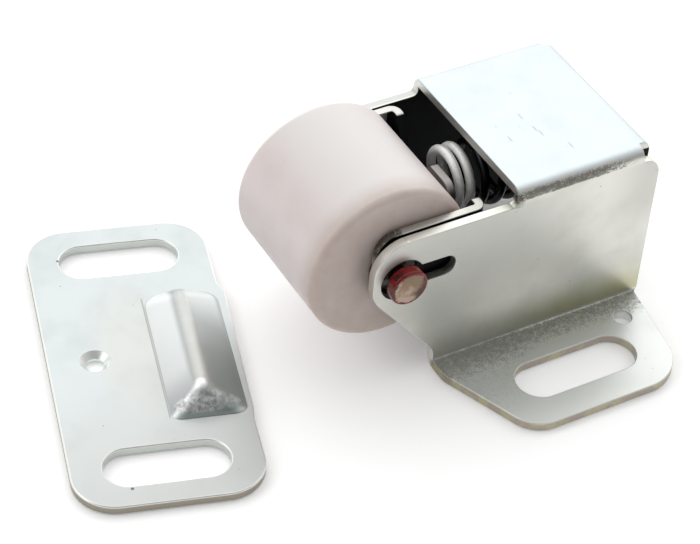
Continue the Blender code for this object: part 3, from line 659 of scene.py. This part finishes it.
def trace(name, corners):
    """A flat face drawn round (x, y, radius) corners from one point, each corner then rounded."""
    clear_picks()
    bpy.ops.mesh.primitive_plane_add(size=MM)
    sheet = added(name)
    shape(sheet)
    bpy.ops.mesh.select_all(action="SELECT")
    bpy.ops.mesh.merge(type="CENTER")
    move(corners[0][0], corners[0][1])
    for before, after in zip(corners, corners[1:]):
        step = ((after[0] - before[0]) * MM, (after[1] - before[1]) * MM, 0.0)
        bpy.ops.mesh.extrude_vertices_move(TRANSFORM_OT_translate={"value": step})
    same = 0.001 * MM
    ends = [Vector((x * MM, y * MM, 0.0)) for x, y, radius in (corners[0], corners[-1])]
    choose(sheet, "VERT", lambda point: min((point.co - end).length for end in ends) < same)
    bpy.ops.mesh.edge_face_add()
    bpy.ops.mesh.select_all(action="SELECT")
    bpy.ops.mesh.edge_face_add()
    work = bmesh.from_edit_mesh(sheet.data)
    work.faces.ensure_lookup_table()
    if work.faces[0].normal.z < 0.0:
        bpy.ops.mesh.flip_normals()
    longest_step = 0.45
    for index, (x, y, radius) in enumerate(corners):
        if not radius:
            continue
        corner = Vector((x, y))
        before = Vector(corners[index - 1][:2]) - corner
        after = Vector(corners[(index + 1) % len(corners)][:2]) - corner
        reach = radius / tan(before.angle(after) / 2)
        reach = min(reach, 0.98 * before.length, 0.98 * after.length)
        at = Vector((x * MM, y * MM, 0.0))
        choose(sheet, "VERT", lambda point: (point.co - at).length < same)
        segments = max(3, round(radius * (pi - before.angle(after)) / longest_step))
        bpy.ops.mesh.bevel(
            offset=reach * MM,
            offset_type="OFFSET",
            segments=segments,
            profile=0.5,
            affect="VERTICES",
            clamp_overlap=False,
        )
    return sheet


def row_width(radius):
    """How wide each flat row of a bend is on the sheet."""
    return 2 * radius * sin(pi / 4 / ROWS)


def rows_of(start, radius):
    """The lines between a bend's rows."""
    return [start + row * row_width(radius) for row in range(ROWS + 1)]


def fold(sheet, flat, axis, start, radius, degrees, level, side=1.0, belongs=lambda here: True):
    """Folds a bend whose rows begin at start on the flat, about one hinge after another from the last."""
    along = 1 if axis == "X" else 0
    for row in range(ROWS, -1, -1):
        line = start + row * row_width(radius)
        part = degrees / ROWS / (2 if row in (0, ROWS) else 1)
        hinge = [0.0, 0.0, level]
        hinge[along] = side * line

        def beyond(point):
            here = flat[point.index]
            return side * here[along] > (line + 0.001) * MM and belongs(here)

        choose(sheet, "VERT", beyond)
        turn_about(part, axis, hinge)


def round_tool(name, radius, depth, centre, axis="Z", points=48):
    """A round bar about its middle, along Y or Z, as a cutter or to shape further."""
    clear_picks()
    bpy.ops.mesh.primitive_cylinder_add(
        vertices=points,
        radius=radius * MM,
        depth=depth * MM,
        location=[value * MM for value in centre],
        rotation=(pi / 2 if axis == "Y" else 0.0, 0.0, 0.0),
    )
    return added(name)


def slot_tool(name, width, length, depth, centre, axis="Z"):
    """A round cutter pulled apart along X to a slot with round ends."""
    tool = round_tool(name, width / 2, depth, centre, axis)
    shape(tool)
    pull = (length - width) / 2
    for side in (1.0, -1.0):
        choose(tool, "VERT", lambda point: side * (point.co.x - centre[0] * MM) > 0.01 * MM)
        move(x=side * pull)
    clear_picks()
    return tool


# Housing, folded from one sheet drawn flat with its outer face up
def make_housing():
    half = HALF - BEND_OUT
    wall = half + ROWS * row_width(BEND_OUT)
    wall_end = wall + TOP - BEND_OUT - BEND_OUT
    flange = wall_end + ROWS * row_width(BEND_IN)

    def down(height):
        """Where a height on the side lies on the flat."""
        return wall + TOP - BEND_OUT - height

    def out(reach):
        """Where a distance out on the flange lies on the flat."""
        return flange + reach - BEND_IN

    plate_front = 18.1
    nose = -4.7
    foot = 6.6
    heel = 41.75
    rear = 42.35
    relief = 39.35
    side_top = down(26.3)
    rear_top = down(27.0)
    outer = out(18.2)
    flap_foot = 8.0
    flap_start = FLAP_FACE - BEND_OUT
    flap_end = flap_start + ROWS * row_width(BEND_OUT) + TOP - BEND_OUT - flap_foot
    flap_half = 12.7
    corners = [
        (plate_front, 0.0, 0.0),
        (plate_front, side_top, 0.8),
        (nose, side_top, 5.2),
        (nose, down(17.21), 5.0),
        (foot, down(3.4), 3.0),
        (foot, out(3.2), 3.0),
        (12.66, outer, 4.8),
        (38.7, outer, 7.0),
        (heel, out(BEND_IN), 0.0),
        (rear, down(BEND_OUT), 0.0),
        (rear, rear_top, 3.0),
        (relief, rear_top, 0.0),
        (relief, flap_half, 0.0),
        (flap_end, flap_half, 2.0),
        (flap_end, 0.0, 0.0),
    ]
    sheet = trace("housing_shell", corners)
    for line in rows_of(half, BEND_OUT) + rows_of(wall_end, BEND_IN):
        bpy.ops.mesh.select_all(action="SELECT")
        cut_at((0.0, line, 0.0), (0.0, 1.0, 0.0))
    # Lines across the holes to come, so that no face holds a whole hole
    for line in (0.6, 24.4, 36.6):
        bpy.ops.mesh.select_all(action="SELECT")
        cut_at((line, 0.0, 0.0), (1.0, 0.0, 0.0))
    for line in rows_of(flap_start, BEND_OUT):
        choose(sheet, "FACE", lambda face: middle_of(face).y < half * MM)
        cut_at((line, 0.0, 0.0), (1.0, 0.0, 0.0))
    bpy.ops.mesh.select_all(action="SELECT")
    move(z=TOP)
    work = bmesh.from_edit_mesh(sheet.data)
    flat = [point.co.copy() for point in work.verts]
    fold(sheet, flat, "X", wall_end, BEND_IN, degrees=90.0, level=TOP)
    fold(sheet, flat, "X", half, BEND_OUT, degrees=-90.0, level=TOP)

    def on_flap(here):
        return here.y < half * MM

    fold(sheet, flat, "Y", flap_start, BEND_OUT, degrees=90.0, level=TOP, belongs=on_flap)
    finish_with(
        sheet,
        "other_side",
        "MIRROR",
        use_axis=(False, True, False),
        use_clip=True,
        merge_threshold=0.001 * MM,
    )
    thicken(sheet, SHEET)
    # The keyhole: a round hole about the axle, and a narrower slot behind it
    keyhole_radius = 3.4
    keyway_wide = 3.4
    keyway_end = 8.6
    keyway_middle = ((keyway_end - keyway_wide / 2) / 2, 0.0, AXLE_UP)
    keyway_long = keyway_end + keyway_wide / 2
    cut_with(sheet, round_tool("keyhole", keyhole_radius, THROUGH, AXLE_MIDDLE, "Y"))
    cut_with(sheet, slot_tool("keyway", keyway_wide, keyway_long, THROUGH, keyway_middle, "Y"))
    for side in (1.0, -1.0):
        slot_middle = (24.9, side * (HALF + 10.0), SHEET / 2)
        pilot_middle = (36.9, side * (HALF + 4.3), SHEET / 2)
        cut_with(sheet, slot_tool("screw_slot", 7.3, 19.7, THROUGH_ONE, slot_middle))
        cut_with(sheet, round_tool("pilot", 1.4, THROUGH_ONE, pilot_middle, points=32))
    weld(sheet)
    round_arris(sheet, 0.13)
    place_piece(sheet, CATCH_X, CATCH_Y)
    return sheet


# Carrier, folded from one strip drawn flat: its web behind, an arm forward on each side
def make_carrier():
    bend_out = BEND_IN + CARRIER_SHEET
    web_end = CARRIER_HALF - bend_out
    arm = web_end + ROWS * row_width(bend_out)
    arm_reach = 3.4
    arm_end = arm + CARRIER_REAR - bend_out + arm_reach
    # Heights are from the axle's middle
    foot = -6.2
    web_top = 1.6
    ear_top = 4.6
    arm_top = 6.8
    ear_near = -5.04
    ear_far = 0.8
    shoulder = web_end - 0.9
    slope = shoulder - (arm_top - web_top) / 2
    half = [(slope, web_top, 1.2), (shoulder, arm_top, 0.6), (arm_end, arm_top, 3.4), (arm_end, foot, 3.5)]
    other = [(-along, height, radius) for along, height, radius in reversed(half)]
    ear = [(ear_near, web_top, 0.5), (ear_near, ear_top, 2.4)]
    ear += [(ear_far, ear_top, 0.5), (ear_far, web_top, 0.5)]
    strip = trace("carrier_shell", half + other + ear)
    for side in (1.0, -1.0):
        for line in rows_of(web_end, bend_out):
            bpy.ops.mesh.select_all(action="SELECT")
            cut_at((side * line, 0.0, 0.0), (1.0, 0.0, 0.0))
    work = bmesh.from_edit_mesh(strip.data)
    flat = [point.co.copy() for point in work.verts]
    for side in (1.0, -1.0):
        fold(strip, flat, "Y", web_end, bend_out, degrees=side * 90.0, level=0.0, side=side)
    thicken(strip, CARRIER_SHEET)
    # Set up on its edge, with the web's outer face to the rear
    strip.rotation_euler = (pi / 2, 0.0, pi / 2)
    strip.location = (CARRIER_REAR * MM, 0.0, AXLE_UP * MM)
    pick(strip)
    bpy.ops.object.transform_apply(location=True, rotation=True, scale=True)
    cut_with(strip, round_tool("axle_hole", AXLE_HOLE, THROUGH, AXLE_MIDDLE, "Y"))
    weld(strip)
    round_arris(strip, 0.12)
    place_piece(strip, CATCH_X, CATCH_Y)
    return strip


# Roller, turned from bar
def make_roller():
    half = 11.15
    radius = 12.6
    tyre = round_tool("roller_tyre", radius, 2 * half, AXLE_MIDDLE, "Y", points=128)
    cut_with(tyre, round_tool("bore", AXLE_HOLE, THROUGH, AXLE_MIDDLE, "Y", points=64))
    shape(tyre)

    def on_rim(edge, reach):
        """Whether an edge lies round an end face, that far from the axis."""
        ends = [point.co / MM - Vector(AXLE_MIDDLE) for point in edge.verts]
        level = abs(ends[0].y - ends[1].y) < 0.01 and abs(abs(ends[0].y) - half) < 0.01
        return level and max(abs(Vector((end.x, end.z)).length - reach) for end in ends) < 0.05

    choose(tyre, "EDGE", lambda edge: on_rim(edge, radius))
    bpy.ops.mesh.bevel(offset=1.1 * MM, segments=7, profile=0.5, clamp_overlap=False)
    choose(tyre, "EDGE", lambda edge: on_rim(edge, AXLE_HOLE))
    bpy.ops.mesh.bevel(offset=0.5 * MM, segments=2, profile=0.5, clamp_overlap=False)
    clear_picks()
    smooth(tyre, 40.0)
    place_piece(tyre, CATCH_X, CATCH_Y)
    return tyre


# Axle, with a neck and a head at each end
def make_axle():
    shank = 12.875
    neck = HALF + 0.35
    end = HALF + 2.0
    neck_radius = 1.5
    pin = round_tool("axle_pin", AXLE_RADIUS, 2 * shank, AXLE_MIDDLE, "Y")
    shape(pin)
    wider = AXLE_RADIUS / neck_radius
    for side in (1.0, -1.0):
        choose(pin, "FACE", lambda face: len(face.verts) > 4 and side * middle_of(face).y > 0.0)
        bpy.ops.mesh.inset(thickness=(AXLE_RADIUS - neck_radius) * MM)
        push_out(side * (neck - shank))
        push_out(0.0)
        head = (0.0, side * neck * MM, AXLE_UP * MM)
        bpy.ops.transform.resize(value=(wider, 1.0, wider), center_override=head)
        push_out(side * (end - neck))

    choose(pin, "EDGE", lambda edge: min(abs(point.co.y) for point in edge.verts) > (end - 0.001) * MM)
    bpy.ops.mesh.bevel(offset=0.35 * MM, segments=4, profile=0.5, clamp_overlap=False)
    clear_picks()
    smooth(pin, 40.0)
    place_piece(pin, CATCH_X, CATCH_Y)
    return pin


def push_out(reach):
    bpy.ops.mesh.extrude_region_move(TRANSFORM_OT_translate={"value": (0.0, reach * MM, 0.0)})


# Spring, wound close at both ends
def make_spring():
    wire = 1.4
    gap = 0.3
    radius = 4.7
    aside = 1.35
    start = CARRIER_REAR + gap + wire / 2
    end = FLAP_FACE - SHEET - gap - wire / 2
    turns = 9.4
    close = 1.9
    close_pitch = 1.85
    steps = 32
    body = turns - 2 * close
    pitch = (end - start - 2 * close * close_pitch) / body
    curve = bpy.data.curves.new("spring_coil", "CURVE")
    curve.dimensions = "3D"
    curve.bevel_depth = wire / 2 * MM
    curve.bevel_resolution = 5
    curve.use_fill_caps = True
    count = round(turns * steps)
    spline = curve.splines.new("POLY")
    spline.points.add(count)
    for index, point in enumerate(spline.points):
        turn = turns * index / count
        angle = radians(240.0) - 2 * pi * turn
        first = min(turn, close)
        middle = min(max(turn - close, 0.0), body)
        last = max(turn - close - body, 0.0)
        x = start + (first + last) * close_pitch + middle * pitch
        place = (x, aside - radius * sin(angle), AXLE_UP + radius * cos(angle))
        point.co = (*[value * MM for value in place], 1.0)
    coil = bpy.data.objects.new("spring_coil", curve)
    bpy.context.scene.collection.objects.link(coil)
    pick(coil)
    bpy.ops.object.convert(target="MESH")
    coil = bpy.context.object
    shape(coil)
    bpy.ops.mesh.select_all(action="SELECT")
    bpy.ops.mesh.remove_doubles(threshold=0.001 * MM)
    bpy.ops.mesh.normals_make_consistent(inside=False)
    clear_picks()
    pick(coil)
    bpy.ops.object.shade_smooth_by_angle(angle=radians(50.0))
    place_piece(coil, CATCH_X, CATCH_Y)
    return coil


# Strike plate: a sheet with a ridge pressed up from below
def ridge_form(name, low, high, base, eaves, top, crest, hip):
    """A closed block whose top is drawn in to a crest, by hip at each end, all rounded."""
    clear_picks()
    size = (high[0] - low[0], high[1] - low[1], eaves - base)
    middle = ((high[0] + low[0]) / 2, (high[1] + low[1]) / 2, (eaves + base) / 2)
    bpy.ops.mesh.primitive_cube_add(
        size=1.0, location=[value * MM for value in middle], scale=[value * MM for value in size]
    )
    block = added(name)
    shape(block)
    choose(block, "FACE", lambda face: face.normal.z > 0.9)
    bpy.ops.mesh.extrude_region_move(TRANSFORM_OT_translate={"value": (0.0, 0.0, (top - eaves) * MM)})
    above = (eaves + 0.1) * MM

    def high_edge(edge, side):
        ends = [point.co for point in edge.verts]
        if max(point.z for point in ends) < above:
            return False
        if side == 0.0:
            return min(point.z for point in ends) > above
        return min(point.z for point in ends) < above and side * middle_of(edge).y > side * middle[1] * MM

    for side in (1.0, -1.0):

        def on_side(point):
            return point.co.z > above and side * (point.co.y / MM - middle[1]) > 0.0

        choose(block, "VERT", on_side)
        bpy.ops.mesh.merge(type="CENTER")
        move(crest - middle[0], -side * hip)
    for side, share in ((1.0, 1.0), (0.0, 0.62), (-1.0, 0.5)):
        choose(block, "EDGE", lambda edge: high_edge(edge, side))
        bpy.ops.transform.edge_bevelweight(value=share)
    finish_with(
        block,
        "press_round",
        "BEVEL",
        width=2.5 * MM,
        segments=8,
        limit_method="WEIGHT",
        use_clamp_overlap=True,
    )
    shape(block)
    bpy.ops.mesh.select_all(action="SELECT")
    bpy.ops.mesh.remove_doubles(threshold=0.001 * MM)
    bpy.ops.mesh.normals_make_consistent(inside=False)
    clear_picks()
    return block


def make_strike():
    half_wide = 13.5
    half_long = 28.2
    corner = 6.1
    slot_inset = 7.1
    hole_out = 6.7
    hole = 1.35
    clear_picks()
    bpy.ops.mesh.primitive_cube_add(
        size=1.0,
        location=(0.0, 0.0, SHEET / 2 * MM),
        scale=(2 * half_wide * MM, 2 * half_long * MM, SHEET * MM),
    )
    plate = added("strike_sheet")
    shape(plate)
    choose(plate, "EDGE", lambda edge: abs(edge.verts[0].co.z - edge.verts[1].co.z) > MM)
    bpy.ops.mesh.bevel(offset=corner * MM, segments=12, profile=0.5, clamp_overlap=False)
    # The edge beside the ridge bulges, more at its far end
    near_bulge = 0.32
    far_bulge = 0.8
    for line in (-14.6, -12.6, 11.6, 13.6):
        bpy.ops.mesh.select_all(action="SELECT")
        cut_at((0.0, line, 0.0), (0.0, 1.0, 0.0))
    for line, bulge in ((-12.6, near_bulge), (11.6, far_bulge)):
        place = Vector((half_wide * MM, line * MM, 0.0))
        choose(plate, "VERT", lambda point: (point.co.xy - place.xy).length < 0.01 * MM)
        move(x=bulge)
    clear_picks()
    for side in (1.0, -1.0):
        slot_middle = (0.0, side * (half_long - slot_inset), SHEET / 2)
        cut_with(plate, slot_tool("screw_slot", 7.1, 17.7, THROUGH_ONE, slot_middle))
    cut_with(plate, round_tool("hole", hole, THROUGH_ONE, (-hole_out, 0.0, SHEET / 2), points=40))
    left_foot = 1.8
    right_foot = half_wide + near_bulge - 0.6
    near_end = -13.6
    far_end = 12.6
    wall = 0.5
    end_wall = 1.0
    crest = left_foot + (right_foot - left_foot) * 0.44
    hip = 3.2
    outside = ridge_form(
        "ridge_outside",
        low=(left_foot, near_end),
        high=(right_foot, far_end),
        base=1.0,
        eaves=1.3,
        top=5.9,
        crest=crest,
        hip=hip,
    )
    inside = ridge_form(
        "ridge_inside",
        low=(left_foot + wall, near_end + end_wall),
        high=(right_foot - wall, far_end - end_wall),
        base=-2.0,
        eaves=-0.2,
        top=3.9,
        crest=crest,
        hip=hip,
    )
    cut_with(plate, outside, "UNION")
    cut_with(plate, inside)
    cut_with(plate, sunk_tool(-hole_out, wide=2.2, hole=hole))
    weld(plate)
    shape(plate)

    def near_foot(edge):
        """Whether an edge lies where the ridge's near end meets the plate."""
        ends = [point.co / MM for point in edge.verts]
        along = max(abs(point.y - near_end) for point in ends) < 0.05
        level = max(abs(point.z - SHEET) for point in ends) < 0.02
        return along and level and all(2.0 < point.x < 13.2 for point in ends)

    choose(plate, "EDGE", near_foot)
    bpy.ops.mesh.bevel(offset=0.8 * MM, segments=4, profile=0.5, clamp_overlap=True)
    clear_picks()
    round_arris(plate, 0.26, segments=3, angle=60.0, soft=32.0)
    place_piece(plate, STRIKE_X, STRIKE_Y, STRIKE_TURN)
    return plate


def sunk_tool(x, wide, hole):
    """A cone at 45 degrees that sinks a hole's rim, past it by a little below and above."""
    clear_picks()
    below = 0.3
    above = 1.0
    low = SHEET - (wide - hole) - below
    high = SHEET + above
    bpy.ops.mesh.primitive_cone_add(
        vertices=40,
        radius1=(hole - below) * MM,
        radius2=(wide + above) * MM,
        depth=(high - low) * MM,
        location=(x * MM, 0.0, (low + high) / 2 * MM),
    )
    return added("sink")


# Floor
def add_floor():
    clear_picks()
    bpy.ops.mesh.primitive_plane_add(size=4.0, location=(0.0, 0.0, -0.0002))
    floor = bpy.context.object
    floor.name = "floor"
    dress(floor, floor_finish())


add_camera()
add_studio()
add_floor()

PIECES = [
    (make_housing, housing_finish, "housing", "zinc_plated_steel", "catch_body"),
    (make_carrier, carrier_finish, "roller_carrier", "zinc_plated_steel", "carriage"),
    (make_strike, strike_finish, "strike_plate", "zinc_plated_steel", "catch_body"),
    (make_roller, nylon_finish, "roller", "white_nylon", "roller_wheel"),
    (make_axle, paint_finish, "axle", "red_marked_steel", "carriage"),
    (make_spring, wire_finish, "compression_spring", "spring_wire", "catch_body"),
]
for make, finish, node, slot, body in PIECES:
    piece = make()
    dress(piece, finish())
    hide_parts(node)
    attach(piece, body)
    if node == "compression_spring":
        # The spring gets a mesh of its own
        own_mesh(piece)

bpy.context.scene.view_settings.view_transform = "Standard"
